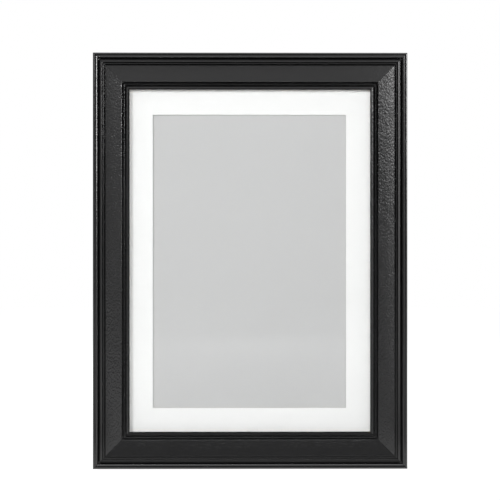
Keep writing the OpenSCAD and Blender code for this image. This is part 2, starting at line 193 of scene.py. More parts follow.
def turned(corners, steps=48):
    """Solid turned about Z, from a half section of (radius, height, rounding) that starts and ends
    on the axis."""
    bm = bmesh.new()
    half = surface(bm, lambda radius, height: (radius, 0, height), corners)
    axis = [edge for edge in half.edges if all(abs(v.co.x) < 1e-6 for v in edge.verts)]
    bmesh.ops.delete(bm, geom=[half], context="FACES_ONLY")
    bmesh.ops.delete(bm, geom=axis, context="EDGES")
    bmesh.ops.spin(bm, geom=bm.verts[:] + bm.edges[:], cent=(0, 0, 0), axis=(0, 0, 1),
                   angle=math.tau, steps=steps, use_merge=True)
    bmesh.ops.remove_doubles(bm, verts=bm.verts, dist=0.001)
    bmesh.ops.recalc_face_normals(bm, faces=bm.faces)
    return bm


def placed(bm, x, y, z, turn=0.0, lean=-90.0):
    """Leans a solid made along Z, to the rear as a rule, turns it about Y and puts it in place."""
    lie = Matrix.Rotation(math.radians(turn), 4, "Y") @ Matrix.Rotation(math.radians(lean), 4, "X")
    bmesh.ops.transform(bm, matrix=Matrix.Translation((x, y, z)) @ lie, verts=bm.verts)
    return bm


def together(solids):
    """Puts several solids into one mesh."""
    whole = bmesh.new()
    for bm in solids:
        mesh = mesh_of(bm, "part")
        whole.from_mesh(mesh)
        bpy.data.meshes.remove(mesh)
    return whole


def cut(bm, tool):
    """Cuts one solid out of another."""
    pair = []
    for solid in (bm, tool):
        bmesh.ops.recalc_face_normals(solid, faces=solid.faces)
        pair.append(put("blank", mesh_of(solid, "blank")))
    step = pair[0].modifiers.new("cut", "BOOLEAN")
    step.object = pair[1]
    step.operation = "DIFFERENCE"
    step.solver = "EXACT"
    ready = pair[0].evaluated_get(bpy.context.evaluated_depsgraph_get())
    result = bmesh.new()
    result.from_mesh(ready.to_mesh())
    for obj in pair:
        mesh = obj.data
        bpy.data.objects.remove(obj)
        bpy.data.meshes.remove(mesh)
    return result


def piece(bm, name, body, nodes, materials, sharp=35):
    """Turns a mesh made in millimetres into a piece that rides on a body in place of CAD nodes."""
    bmesh.ops.scale(bm, vec=(MM, MM, MM), verts=bm.verts)
    mesh = mesh_of(bm, name)
    mesh.shade_smooth()
    mesh.set_sharp_from_angle(angle=math.radians(sharp))
    for made in materials:
        mesh.materials.append(made)
    obj = put(name, mesh)
    weighted = obj.modifiers.new("weighted normals", "WEIGHTED_NORMAL")
    weighted.keep_sharp = True
    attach(obj, body)
    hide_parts(*nodes)
    return obj


def from_edge(tree, where):
    """Distance in from the frame's outer edge, in metres."""
    part = add(tree, "ShaderNodeSeparateXYZ", links={"Vector": where})
    out_x = add(tree, "ShaderNodeMath", {"operation": "ABSOLUTE"}, links={0: part.outputs["X"]})
    in_x = add(tree, "ShaderNodeMath", {"operation": "SUBTRACT"}, {0: FRAME_W / 2 * MM},
               {1: out_x.outputs[0]})
    in_top = add(tree, "ShaderNodeMath", {"operation": "SUBTRACT"}, {0: FRAME_H * MM},
                 {1: part.outputs["Z"]})
    in_z = add(tree, "ShaderNodeMath", {"operation": "MINIMUM"},
               links={0: in_top.outputs[0], 1: part.outputs["Z"]})
    return add(tree, "ShaderNodeMath", {"operation": "MINIMUM"},
               links={0: in_x.outputs[0], 1: in_z.outputs[0]}).outputs[0]


def satin_lacquer(name, stretch):
    """Satin black lacquer over primed board: nearly black where it is lit, grey where it mirrors.
    The broad face keeps the grain of the board and a faint orange peel, drawn out along the rail,
    and the beads outside it are rubbed smooth."""
    made, tree, shader, where = finish_of(name, IOR=1.5)
    along = add(tree, "ShaderNodeMapping", values={"Scale": stretch}, links={"Vector": where})
    cloud = add(tree, "ShaderNodeTexNoise", values={"Scale": 1 / (9 * MM), "Detail": 3.0},
                links={"Vector": where})
    grain = add(tree, "ShaderNodeTexNoise", values={"Scale": 1 / (0.55 * MM), "Detail": 1.0},
                links={"Vector": along.outputs["Vector"]})
    peel = add(tree, "ShaderNodeTexNoise", values={"Scale": 1 / (3.4 * MM)},
               links={"Vector": along.outputs["Vector"]})
    tone = add(tree, "ShaderNodeMix", {"data_type": "RGBA"},
               {MIX_A: linear(LACQUER_DEEP), MIX_B: linear(LACQUER_TOP)}, {0: cloud.outputs["Fac"]})
    rough = add(tree, "ShaderNodeMapRange",
                values={"From Min": 0.3, "From Max": 0.7, "To Min": 0.12, "To Max": 0.17},
                links={"Value": grain.outputs["Fac"]})
    broad = add(tree, "ShaderNodeMapRange",
                values={"From Min": (BEADS_W - 0.4) * MM, "From Max": (BEADS_W + 0.4) * MM,
                        "To Min": 0.05},
                links={"Value": from_edge(tree, where)})
    relief = add(tree, "ShaderNodeBump", values={"Distance": 0.09 * MM},
                 links={"Height": grain.outputs["Fac"], "Strength": broad.outputs["Result"]})
    film = add(tree, "ShaderNodeBump", values={"Distance": 0.06 * MM},
               links={"Height": peel.outputs["Fac"], "Strength": broad.outputs["Result"],
                      "Normal": relief.outputs["Normal"]})
    dress(shader, Base_Color=tone.outputs[MIXED], Roughness=rough.outputs["Result"],
          Normal=film.outputs["Normal"])
    return made


def raw_fibreboard():
    """Raw medium density fibreboard: short pale and dark fibres pressed flat, without sheen, and
    darkened by a ragged mist of lacquer within 2 mm of the frame's outer edge."""
    made, tree, shader, where = finish_of("raw_fibreboard", Roughness=0.88, IOR=1.45)
    fibre = add(tree, "ShaderNodeTexNoise",
                values={"Scale": 1 / (0.7 * MM), "Detail": 6.0, "Roughness": 0.7},
                links={"Vector": where})
    cloud = add(tree, "ShaderNodeTexNoise", values={"Scale": 1 / (12 * MM)},
                links={"Vector": where})
    spread = add(tree, "ShaderNodeMapRange", values={"From Min": 0.35, "From Max": 0.68},
                 links={"Value": fibre.outputs["Fac"]})
    tone = add(tree, "ShaderNodeMix", {"data_type": "RGBA"},
               {MIX_A: linear(BOARD_DARK), MIX_B: linear(BOARD_PALE)},
               {0: spread.outputs["Result"]})
    ragged = add(tree, "ShaderNodeMath", {"operation": "MULTIPLY_ADD"}, {1: -3 * MM},
                 {0: cloud.outputs["Fac"], 2: from_edge(tree, where)})
    mist = add(tree, "ShaderNodeMapRange",
               values={"From Min": -1.3 * MM, "From Max": 0.9 * MM, "To Min": 0.92, "To Max": 0.0},
               links={"Value": ragged.outputs[0]})
    sprayed = add(tree, "ShaderNodeMix", {"data_type": "RGBA"}, {MIX_B: linear(LACQUER_TOP)},
                  {0: mist.outputs["Result"], MIX_A: tone.outputs[MIXED]})
    fuzz = add(tree, "ShaderNodeBump", values={"Strength": 0.5, "Distance": 0.06 * MM},
               links={"Height": fibre.outputs["Fac"]})
    dress(shader, Base_Color=sprayed.outputs[MIXED], Normal=fuzz.outputs["Normal"])
    return made


def rail_corners():
    """Section as (inwards, forwards, rounding), from the outer rear corner round the front."""
    groove = OUTER_BEAD + GROOVE
    quirk = groove + MID_BEAD
    ridge = quirk + QUIRK
    face_quirk = ridge + RIDGE
    face = face_quirk + FACE_QUIRK
    cove = RAIL_W - LIP - COVE
    inner = cove - INNER_BEAD
    step = inner - STEP
    return [
        (0, 0, REAR_EASE),
        (0, RAIL_D, OUTER_EASE), (OUTER_BEAD, RAIL_D, OUTER_BEAD - OUTER_EASE),
        (OUTER_BEAD, GROOVE_FLOOR, GROOVE / 2), (groove, GROOVE_FLOOR, GROOVE / 2),
        (groove, MID_BEAD_TOP, MID_BEAD_EASE), (quirk, MID_BEAD_TOP - MID_BEAD_FALL, MID_BEAD_EASE),
        (quirk, QUIRK_FLOOR, QUIRK / 3), (ridge, QUIRK_FLOOR, QUIRK / 3),
        (ridge, RIDGE_TOP, RIDGE / 2), (face_quirk, RIDGE_TOP, RIDGE / 2),
        (face_quirk, FACE_QUIRK_FLOOR, FACE_QUIRK / 3), (face, FACE_QUIRK_FLOOR, FACE_QUIRK / 3),
        (face, FACE_TOP, FACE_EASE), (face + CROWN, FACE_TOP - CROWN_FALL, CROWN_EASE),
        (step, FACE_FOOT, FOOT_ARRIS), (step, STEP_FLOOR, STEP / 4), (inner, STEP_FLOOR, STEP / 4),
        (inner, INNER_BEAD_TOP, INNER_BEAD / 2), (cove, INNER_BEAD_TOP, INNER_BEAD / 2),
        (cove, COVE_FLOOR, COVE / 3), (cove + COVE * 0.9, COVE_FLOOR, ARRIS),
        (cove + COVE, LIP_TOP, ARRIS),
        (RAIL_W - LIP_FLAT, LIP_TOP - LIP_FALL, ARRIS),
        (RAIL_W + LIP_REACH, LIP_TOP - LIP_FALL, LIP_ARRIS),
        (RAIL_W + LIP_REACH - LIP_UNDERCUT, REBATE_D, ARRIS),
        (REBATE_WALL, REBATE_D, 0), (REBATE_WALL, 0, ARRIS),
    ]


def fastener_holes():
    """Slots for the angle nails and pilot holes for the screws, open at the rear."""
    slots = bmesh.new()
    leg, thick = NAIL_LEG + 2 * FIT, NAIL_T + 2 * FIT
    corners = [(0, 0), (leg, 0), (leg, thick), (thick, thick), (thick, leg), (0, leg)]
    for side_x in (-1, 1):
        for side_z in (-1, 1):
            for place in NAIL_PLACES:
                near_x, near_z = FRAME_W / 2 - place + FIT, MID_Z - place + FIT
                blank = slots.faces.new([
                    slots.verts.new((side_x * (near_x - right), REAR_Y - NAIL_DEPTH,
                                     MID_Z + side_z * (near_z - up))) for right, up in corners
                ])
                pull(slots, [blank], (0, NAIL_DEPTH + 1, 0))
    hole = [(0, -SCREW_DEPTH - 1, 0), (SCREW_R + FIT, -SCREW_DEPTH, 0), (SCREW_R + FIT, 1, 0),
            (0, 1, 0)]
    pilots = [placed(turned(hole, 24), pivot.x, REAR_Y, pivot.z) for pivot in PIVOTS.values()]
    return together([slots, *pilots])


def rail(name, length, turn, materials):
    """One mitred rail, made along the bottom of the frame and turned to its side."""
    bm = bmesh.new()
    near = surface(bm, lambda inward, forward: (-length / 2, REAR_Y - forward, inward),
                   rail_corners())
    far, = pull(bm, [near], (length, 0, 0))
    near = next(face for face in bm.faces if all(v.co.x < 0 for v in face.verts))
    for cap, lean in ((near, 1), (far, -1)):
        mitre = Matrix.Identity(4)
        mitre[0][2] = lean
        bmesh.ops.transform(bm, matrix=mitre, verts=cap.verts)
        rim = set(cap.verts)
        bmesh.ops.inset_individual(bm, faces=[cap], thickness=MITRE_EASE, use_even_offset=True)
        rim -= set(cap.verts)
        bmesh.ops.translate(bm, verts=list(rim), vec=(lean * MITRE_EASE, 0, 0))
    bmesh.ops.recalc_face_normals(bm, faces=bm.faces)
    for face in bm.faces:
        middle = face.calc_center_median()
        raw = middle.y > REAR_Y - REBATE_D - FIT and REAR_EASE / 2 < middle.z < RAIL_W - ARRIS
        face.material_index = 1 if raw and abs(face.normal.x) < 0.5 else 0
    half = (FRAME_W if turn % 180 else FRAME_H) / 2
    on_side = (Matrix.Translation((0, 0, MID_Z)) @ Matrix.Rotation(math.radians(turn), 4, "Y")
               @ Matrix.Translation((0, 0, -half)))
    bmesh.ops.transform(bm, matrix=on_side, verts=bm.verts)
    return piece(cut(bm, fastener_holes()), name + "_moulding", "frame", [name],
                 materials)


fibreboard = raw_fibreboard()
lacquer_across = satin_lacquer("satin_black_lacquer_across", (0.5, 1, 1))
lacquer_upright = satin_lacquer("satin_black_lacquer_upright", (1, 1, 0.5))
rail("bottom_rail", FRAME_W, 0, [lacquer_across, fibreboard])
rail("top_rail", FRAME_W, 180, [lacquer_across, fibreboard])
rail("left_rail", FRAME_H, 90, [lacquer_upright, fibreboard])
rail("right_rail", FRAME_H, -90, [lacquer_upright, fibreboard])


# Angle nails. Eight strips of spring steel folded to a right angle and pressed into the rear of the
# mitres, two to a corner and just below the surface, so that only their bright edges show.
def spring_steel():
    """Cold rolled spring steel, sheared: a grey metal with fine lines from the shear."""
    made, tree, shader, where = finish_of("sheared_spring_steel", Metallic=1.0)
    lines = add(tree, "ShaderNodeMapping", values={"Scale": (1, 0.2, 1)}, links={"Vector": where})
    shear = add(tree, "ShaderNodeTexNoise", values={"Scale": 1 / (0.25 * MM), "Detail": 3.0},
                links={"Vector": lines.outputs["Vector"]})
    tone = add(tree, "ShaderNodeMix", {"data_type": "RGBA"},
               {MIX_A: linear("#8C8E92"), MIX_B: linear("#C2C4C7")}, {0: shear.outputs["Fac"]})
    rough = add(tree, "ShaderNodeMapRange", values={"To Min": 0.28, "To Max": 0.5},
                links={"Value": shear.outputs["Fac"]})
    dress(shader, Base_Color=tone.outputs[MIXED], Roughness=rough.outputs["Result"])
    return made


nail_steel = spring_steel()
for row in frame["nodes"]["corner_v_nails"].material_slots:
    row.material = nail_steel


# Front sheet. A clear styrene sheet, sawn to size, laid first in the rebate against the lip. It is
# nearly invisible from the front and mirrors the room only at a slant.
SHEET_ARRIS = 0.12
SHEET_PLAY = 0.02


def picture_board(node, play=0.0):
    """Plain board with the outline and the thickness of a sheet in the rebate, less its play."""
    low, high = (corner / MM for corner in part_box(node))
    size = Matrix.Diagonal((*(high - low - 2 * Vector((play, play, play))), 1))
    bm = bmesh.new()
    bmesh.ops.create_cube(bm, size=1, matrix=Matrix.Translation((low + high) / 2) @ size)
    return bm


def ease(bm, radius, segments=2, least=50, keep=()):
    """Rounds every arris that turns more than the given angle, except those of the kept faces."""
    bm.normal_update()
    spared = {edge for face in keep for edge in face.edges}
    sharp = [edge for edge in bm.edges if edge not in spared and edge.is_manifold
             and edge.calc_face_angle() > math.radians(least)]
    bmesh.ops.bevel(bm, geom=sharp, offset=radius, offset_type="OFFSET", segments=segments,
                    profile=0.5, affect="EDGES", material=-1, clamp_overlap=True)
    return bm


def clear_styrene():
    """Clear polystyrene: glossy and colourless, with a trace of wiping marks in its gloss. Lamps
    shine through it, so that the picture behind stays as bright as it is."""
    made, tree, shader, where = finish_of("clear_styrene", IOR=1.49, Transmission_Weight=1.0)
    shader.inputs["Base Color"].default_value = linear("#FDFEFE")
    wipe = add(tree, "ShaderNodeTexNoise", values={"Scale": 1 / (18 * MM)},
               links={"Vector": where})
    rough = add(tree, "ShaderNodeMapRange", values={"To Min": 0.01, "To Max": 0.04},
                links={"Value": wipe.outputs["Fac"]})
    dress(shader, Roughness=rough.outputs["Result"])
    path = add(tree, "ShaderNodeLightPath")
    through = add(tree, "ShaderNodeBsdfTransparent")
    to_board = add(tree, "ShaderNodeMixShader", links={
        0: path.outputs["Is Diffuse Ray"], 1: shader.outputs[0], 2: through.outputs[0]})
    to_lamp = add(tree, "ShaderNodeMixShader", links={
        0: path.outputs["Is Shadow Ray"], 1: to_board.outputs[0], 2: through.outputs[0]})
    tree.links.new(to_lamp.outputs[0], tree.nodes["Material Output"].inputs["Surface"])
    return made


piece(ease(picture_board("front_sheet", SHEET_PLAY), SHEET_ARRIS), "clear_front_sheet", "frame",
      ["front_sheet"], [clear_styrene()])


# Window mat. White mat board, a smooth facing paper on a pulp core, with a window cut square to the
# face, laid on the front sheet. Its cut edges show the core, painted a grey well below a real pale
# core, as painted shade that deepens the dark line along the window's cut edge.
WINDOW_W = 95.65
WINDOW_H = 145.05
WINDOW_X = -0.22
WINDOW_Z = MID_Z - 0.35
PAPER_ARRIS = 0.05


def mat_paper(name, hex_face, hex_shade, tooth_mm):
    """Uncoated board: near white and matt, with a soft cloud in the pulp and a fine tooth."""
    made, tree, shader, where = finish_of(name, Roughness=0.9, IOR=1.45, Specular_IOR_Level=0.25)
    cloud = add(tree, "ShaderNodeTexNoise", values={"Scale": 1 / (3 * MM), "Detail": 4.0},
                links={"Vector": where})
    tooth = add(tree, "ShaderNodeTexNoise", values={"Scale": 1 / (tooth_mm * MM)},
                links={"Vector": where})
    tone = add(tree, "ShaderNodeMix", {"data_type": "RGBA"},
               {MIX_A: linear(hex_shade), MIX_B: linear(hex_face)}, {0: cloud.outputs["Fac"]})
    relief = add(tree, "ShaderNodeBump", values={"Strength": 0.15, "Distance": 0.02 * MM},
                 links={"Height": tooth.outputs["Fac"]})
    dress(shader, Base_Color=tone.outputs[MIXED], Normal=relief.outputs["Normal"])
    return made


def window_mat():
    """The mat: a board whose two faces are inset to the window and bridged through."""
    bm = picture_board("window_mat")
    windows = [face for face in bm.faces if abs(face.normal.y) > 0.5]
    for face in windows:
        bmesh.ops.inset_individual(bm, faces=[face], thickness=WINDOW_W / 8)
        for vert in face.verts:
            vert.co.x = WINDOW_X + math.copysign(WINDOW_W / 2, vert.co.x)
            vert.co.z = WINDOW_Z + math.copysign(WINDOW_H / 2, vert.co.z - MID_Z)
    edges = [edge for face in windows for edge in face.edges]
    bmesh.ops.delete(bm, geom=windows, context="FACES_ONLY")
    bmesh.ops.bridge_loops(bm, edges=edges)
    bmesh.ops.recalc_face_normals(bm, faces=bm.faces)
    for face in bm.faces:
        face.material_index = 0 if abs(face.normal.y) > 0.5 else 1
    return ease(bm, PAPER_ARRIS)


piece(window_mat(), "window_mat_board", "frame", ["window_mat"],
      [mat_paper("white_mat_facing_paper", "#FFFFFE", "#FBFBFA", 0.35),
       # the core's grey is painted shade for the window's cut edge, not the colour of a real core
       mat_paper("mat_core_grey_painted_shade", "#DEDCD6", "#D2D0CA", 0.2)])


# Photo insert. The plain grey sheet of coated paper that lies behind the mat, even and matt, with
# no print on it.
def insert_paper():
    """Grey coated paper: even in colour, with a faint mottle of the ink and a low sheen."""
    made, tree, shader, where = finish_of("grey_insert_paper", Roughness=0.6, IOR=1.45,
                                          Specular_IOR_Level=0.2)
    mottle = add(tree, "ShaderNodeTexNoise", values={"Scale": 1 / (1.5 * MM), "Detail": 4.0},
                 links={"Vector": where})
    tone = add(tree, "ShaderNodeMix", {"data_type": "RGBA"},
               {MIX_A: linear("#C9C9C9"), MIX_B: linear("#CDCDCD")}, {0: mottle.outputs["Fac"]})
    dress(shader, Base_Color=tone.outputs[MIXED])
    return made


piece(ease(picture_board("photo_insert"), PAPER_ARRIS), "photo_insert_sheet", "frame",
      ["photo_insert"], [insert_paper()])


# Back panel. Hardboard with its smooth side out, laid in last, drilled for the rivets of the hinge
# and of the two hangers. Wood fibre pressed in its own resin, with sawn, slightly fuzzy edges.
RIVET_R = 1.2
RIVET_TAIL_R = 1.9
RIVET_TAIL_H = 0.5
HINGE, TOP_RING, SIDE_RING = (
    next(Vector(joint["pos_m"]) / MM for joint in frame["joints"] if joint["child"] == body)
    for body in ("leg", "ring_top", "ring_side")
)
STRAP_RIVET_DROP = 10.8
BACK_RIVETS = [(-9, HINGE.z + 12), (9, HINGE.z + 12)]
LEG_RIVETS = [(-7.5, HINGE.z - 13), (7.5, HINGE.z - 13)]
STRAP_RIVETS = [(0, TOP_RING.z - STRAP_RIVET_DROP), (SIDE_RING.x - STRAP_RIVET_DROP, MID_Z)]
PANEL_T = REAR_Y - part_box("back_panel")[0].y / MM
BOARD_ARRIS = 0.25


def hardboard(name, stretch):
    """Hardboard, smooth side: dark brown, with long pale and near black fibres locked in a resin
    skin that has a low sheen, and broad clouds from the press."""
    made, tree, shader, where = finish_of(name, IOR=1.5)
    along = add(tree, "ShaderNodeMapping", values={"Scale": stretch}, links={"Vector": where})
    press = add(tree, "ShaderNodeTexNoise", values={"Scale": 1 / (16 * MM), "Detail": 3.0},
                links={"Vector": where})
    fibre = add(tree, "ShaderNodeTexNoise",
                values={"Scale": 1 / (0.9 * MM), "Detail": 5.0, "Roughness": 0.68,
                        "Distortion": 0.6}, links={"Vector": along.outputs["Vector"]})
    fleck = add(tree, "ShaderNodeTexNoise", values={"Scale": 1 / (1.7 * MM)},
                links={"Vector": along.outputs["Vector"]})
    base = add(tree, "ShaderNodeMix", {"data_type": "RGBA"},
               {MIX_A: linear("#5E4029"), MIX_B: linear("#7A5739")}, {0: press.outputs["Fac"]})
    pale = add(tree, "ShaderNodeMapRange",
               values={"From Min": 0.52, "From Max": 0.72, "To Max": 0.75},
               links={"Value": fibre.outputs["Fac"]})
    fibred = add(tree, "ShaderNodeMix", {"data_type": "RGBA"}, {MIX_B: linear("#A98258")},
                 {0: pale.outputs["Result"], MIX_A: base.outputs[MIXED]})
    dark = add(tree, "ShaderNodeMapRange",
               values={"From Min": 0.64, "From Max": 0.72, "To Max": 0.8},
               links={"Value": fleck.outputs["Fac"]})
    flecked = add(tree, "ShaderNodeMix", {"data_type": "RGBA"}, {MIX_B: linear("#33211A")},
                  {0: dark.outputs["Result"], MIX_A: fibred.outputs[MIXED]})
    rough = add(tree, "ShaderNodeMapRange", values={"To Min": 0.42, "To Max": 0.68},
                links={"Value": fibre.outputs["Fac"]})
    relief = add(tree, "ShaderNodeBump", values={"Strength": 0.4, "Distance": 0.04 * MM},
                 links={"Height": fibre.outputs["Fac"]})
    dress(shader, Base_Color=flecked.outputs[MIXED], Roughness=rough.outputs["Result"],
          Normal=relief.outputs["Normal"])
    return made


def rivet_holes(places, front_y, thickness):
    """Drills for rivets through a board, each with a pocket for the tail in the front face."""
    pocket = RIVET_TAIL_H + 2 * FIT
    drill = [(0, -1, 0), (RIVET_TAIL_R + FIT, -1, 0), (RIVET_TAIL_R + FIT, pocket, 0),
             (RIVET_R + FIT, pocket, 0), (RIVET_R + FIT, thickness + 1, 0), (0, thickness + 1, 0)]
    return together([placed(turned(drill, 32), x, front_y, z) for x, z in places])


panel = cut(ease(picture_board("back_panel"), BOARD_ARRIS),
            rivet_holes(BACK_RIVETS + STRAP_RIVETS, REAR_Y - PANEL_T, PANEL_T))
piece(panel, "hardboard_back_panel", "frame", ["back_panel"],
      [hardboard("hardboard_smooth_side", (1, 1, 0.55))])


# Turn buttons. Eight flat steel buttons, blanked with the soft rims that a press leaves, coined
# with a rib for stiffness and zinc plated. Each turns on its screw to hold or free the panel.
BUTTON_R = 4.5
BUTTON_TIP_R = 3
BUTTON_REACH = 8
BUTTON_T = 0.8
BUTTON_HOLE_R = 1.48
BUTTON_Y = REAR_Y + 0.1
RIB_R = 0.8
RIB_SINK = 0.2
RIB_FLARE = (2.2, 1, 1.5)
BUTTON_ROUND = 0.24
HOLE_FLARE = 0.12


def arcs(bm, runs):
    """Flat face in the XZ plane from arcs joined by straights. Each run is a centre, a radius, and
    in degrees from +X towards +Z the heading that it starts at and the angle that it turns."""
    ends = []
    for (x, z), radius, start, angle in runs:
        heading = math.radians(start)
        first = bm.verts.new((x + radius * math.cos(heading), 0, z + radius * math.sin(heading)))
        made = bmesh.ops.spin(bm, geom=[first], cent=(x, 0, z), axis=(0, -1, 0),
                              angle=math.radians(angle), steps=20)["geom_last"]
        ends.append((first, next(part for part in made if isinstance(part, bmesh.types.BMVert))))
    for (_, last), (first, _) in zip(ends, ends[1:] + ends[:1]):
        bm.edges.new((last, first))
    return bmesh.ops.contextual_create(bm, geom=bm.edges[:])["faces"][0]


def button_blank():
    """Button with its screw hole at the origin, its tip towards -Z and its rear face along +Y."""
    lean = math.degrees(math.asin((BUTTON_R - BUTTON_TIP_R) / BUTTON_REACH))
    bm = bmesh.new()
    outline = arcs(bm, [((0, 0), BUTTON_R, -lean, 180 + 2 * lean),
                        ((0, -BUTTON_REACH), BUTTON_TIP_R, 180 + lean, 180 - 2 * lean)])
    pull(bm, [outline], (0, BUTTON_T, 0))
    ease(bm, BUTTON_ROUND, 3)
    rib = bmesh.new()
    groove = arcs(rib, [((0, -BUTTON_R), RIB_R, 0, 180), ((0, -BUTTON_REACH), RIB_R, 180, 180)])
    bmesh.ops.translate(rib, verts=rib.verts, vec=(0, BUTTON_T - RIB_SINK, 0))
    far, = pull(rib, [groove], (0, 1, 0))
    bmesh.ops.scale(rib, vec=RIB_FLARE, verts=far.verts,
                    space=Matrix.Translation((0, 0, (BUTTON_R + BUTTON_REACH) / 2)))
    low, high = BUTTON_T - HOLE_FLARE, BUTTON_T + HOLE_FLARE
    hole = placed(turned([(0, -1, 0), (BUTTON_HOLE_R, -1, 0), (BUTTON_HOLE_R, low, 0),
                          (BUTTON_HOLE_R + 2 * HOLE_FLARE, high, 0), (0, high, 0)]), 0, 0, 0)
    return cut(bm, together([rib, hole]))


def zinc_plate():
    """Bright zinc plate on pressed steel: a pale bluish metal, crystalline and a little cloudy,
    with fine rubs from the plating barrel."""
    made, tree, shader, where = finish_of("bright_zinc_plate", Metallic=1.0)
    crystal = add(tree, "ShaderNodeTexVoronoi", values={"Scale": 1 / (1.1 * MM)},
                  links={"Vector": where})
    cloud = add(tree, "ShaderNodeTexNoise", values={"Scale": 1 / (4 * MM), "Detail": 4.0},
                links={"Vector": where})
    rub = add(tree, "ShaderNodeTexNoise", values={"Scale": 1 / (0.3 * MM), "Detail": 3.0},
              links={"Vector": where})
    spangle = add(tree, "ShaderNodeSeparateColor", links={0: crystal.outputs["Color"]})
    tone = add(tree, "ShaderNodeMix", {"data_type": "RGBA"},
               {MIX_A: linear("#AEB3B9"), MIX_B: linear("#CDD0D3")}, {0: cloud.outputs["Fac"]})
    shade = add(tree, "ShaderNodeMapRange", values={"To Max": 0.16},
                links={"Value": spangle.outputs[0]})
    passivated = add(tree, "ShaderNodeMix", {"data_type": "RGBA"}, {MIX_B: linear("#9C9A86")},
                     {0: shade.outputs["Result"], MIX_A: tone.outputs[MIXED]})
    rough = add(tree, "ShaderNodeMapRange",
                values={"From Min": 0.3, "From Max": 0.7, "To Min": 0.24, "To Max": 0.42},
                links={"Value": rub.outputs["Fac"]})
    relief = add(tree, "ShaderNodeBump", values={"Strength": 0.25, "Distance": 0.02 * MM},
                 links={"Height": rub.outputs["Fac"]})
    dress(shader, Base_Color=passivated.outputs[MIXED], Roughness=rough.outputs["Result"],
          Normal=relief.outputs["Normal"])
    return made


zinc = zinc_plate()
for name, pivot in PIVOTS.items():
    node = "turn_button_" + name
    towards = sum(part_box(node), Vector()) / 2 / MM - pivot
    turn = math.degrees(math.atan2(-towards.x, -towards.z))
    button = placed(button_blank(), pivot.x, BUTTON_Y, pivot.z, turn, lean=0)
    piece(button, node + "_plate", "button_" + name, [node], [zinc])


# Turn button screws. Eight pan head wood screws with a cross recess, zinc plated, driven into the
# rails until the button just turns, so that no two recesses stand alike.
HEAD_R = 2.7
HEAD_H = 1.6
HEAD_SIDE = 1.0
HEAD_Y = BUTTON_Y + BUTTON_T + 0.1
RECESS_L = 2.9
RECESS_W = 0.62
RECESS_H = 1.0
RECESS_TAPER = (0.42, 0.6, 1)
SCREW_TIP_R = 0.25
SCREW_POINT = 2
TURN_OF_EACH = 37


def screw_blank():
    """Screw along Z, its head on the origin plane and its point below."""
    shank = HEAD_Y - REAR_Y + SCREW_DEPTH
    bm = turned([(0, -shank, 0), (SCREW_TIP_R, -shank, 0), (SCREW_R, SCREW_POINT - shank, 0),
                 (SCREW_R, 0, 0),
                 (HEAD_R, 0, 0.12), (HEAD_R, HEAD_SIDE, 0.6), (HEAD_R * 0.55, HEAD_H - 0.06, 0.3),
                 (0, HEAD_H, 0)])
    for turn in (0, 90):
        blade = bmesh.new()
        made = bmesh.ops.create_cube(blade, size=1, matrix=Matrix.Diagonal(
            (RECESS_L, RECESS_W, 2 * RECESS_H, 1)))["verts"]
        bmesh.ops.scale(blade, vec=RECESS_TAPER, verts=[v for v in made if v.co.z < 0])
        lie = Matrix.Translation((0, 0, HEAD_H)) @ Matrix.Rotation(math.radians(turn), 4, "Z")
        bmesh.ops.transform(blade, matrix=lie, verts=blade.verts)
        bm = cut(bm, blade)
    return bm


def plated_steel(name, dark, pale, smooth, rubbed):
    """Small turned or headed steel part with a thin bright plate: even, with fine lathe and
    handling marks in its gloss."""
    made, tree, shader, where = finish_of(name, Metallic=1.0)
    mark = add(tree, "ShaderNodeTexNoise", values={"Scale": 1 / (0.5 * MM), "Detail": 4.0},
               links={"Vector": where})
    tone = add(tree, "ShaderNodeMix", {"data_type": "RGBA"},
               {MIX_A: linear(dark), MIX_B: linear(pale)}, {0: mark.outputs["Fac"]})
    rough = add(tree, "ShaderNodeMapRange",
                values={"From Min": 0.3, "From Max": 0.7, "To Min": smooth, "To Max": rubbed},
                links={"Value": mark.outputs["Fac"]})
    relief = add(tree, "ShaderNodeBump", values={"Strength": 0.15, "Distance": 0.02 * MM},
                 links={"Height": mark.outputs["Fac"]})
    dress(shader, Base_Color=tone.outputs[MIXED], Roughness=rough.outputs["Result"],
          Normal=relief.outputs["Normal"])
    return made


screws = [placed(screw_blank(), pivot.x, HEAD_Y, pivot.z, index * TURN_OF_EACH)
          for index, pivot in enumerate(PIVOTS.values())]
piece(together(screws), "turn_button_screw_set", "frame", ["turn_button_screws"],
      [plated_steel("zinc_plated_screw_steel", "#A6A9AB", "#D0D2D2", 0.2, 0.34)])


# Hinge leaf on the panel. A strip of plated steel whose two tongues are rolled round the pin, each
# with the seam that rolling leaves, held to the hardboard by two rivets with low domed heads.
LEAF_T = 0.8
LEAF_EDGE = 2.2
LEAF_CORNER = 2.5
INNER_KNUCKLE = 5
OUTER_KNUCKLE = (5.3, 9.5)
BACK_LEAF_W = 15
BACK_LEAF_TOP = 18
NOTCH_R = 0.4
ROLLED = 296
RIVET_HEAD_R = 2.3
RIVET_HEAD_H = 0.9
RIVET_RIM = 0.2


def rolled(corners, front_y, thickness, pivot, angle):
    """Leaf from its outline in X and Z, its tongues, which end at the pivot, rolled round it."""
    bm = bmesh.new()
    pull(bm, [surface(bm, lambda x, z: (x, front_y, z), corners)], (0, thickness, 0))

    def tongue_ends():
        return [face for face in bm.faces if abs(face.normal.z) > 0.99
                and abs(face.calc_center_median().z - pivot.z) < FIT]

    ease(bm, ARRIS, keep=tongue_ends())
    bm.normal_update()
    ends = tongue_ends()
    bmesh.ops.spin(bm, geom=ends, cent=pivot, axis=(1, 0, 0), angle=math.radians(angle), steps=32)
    bmesh.ops.delete(bm, geom=ends, context="FACES_ONLY")
    bmesh.ops.recalc_face_normals(bm, faces=bm.faces)
    return bm


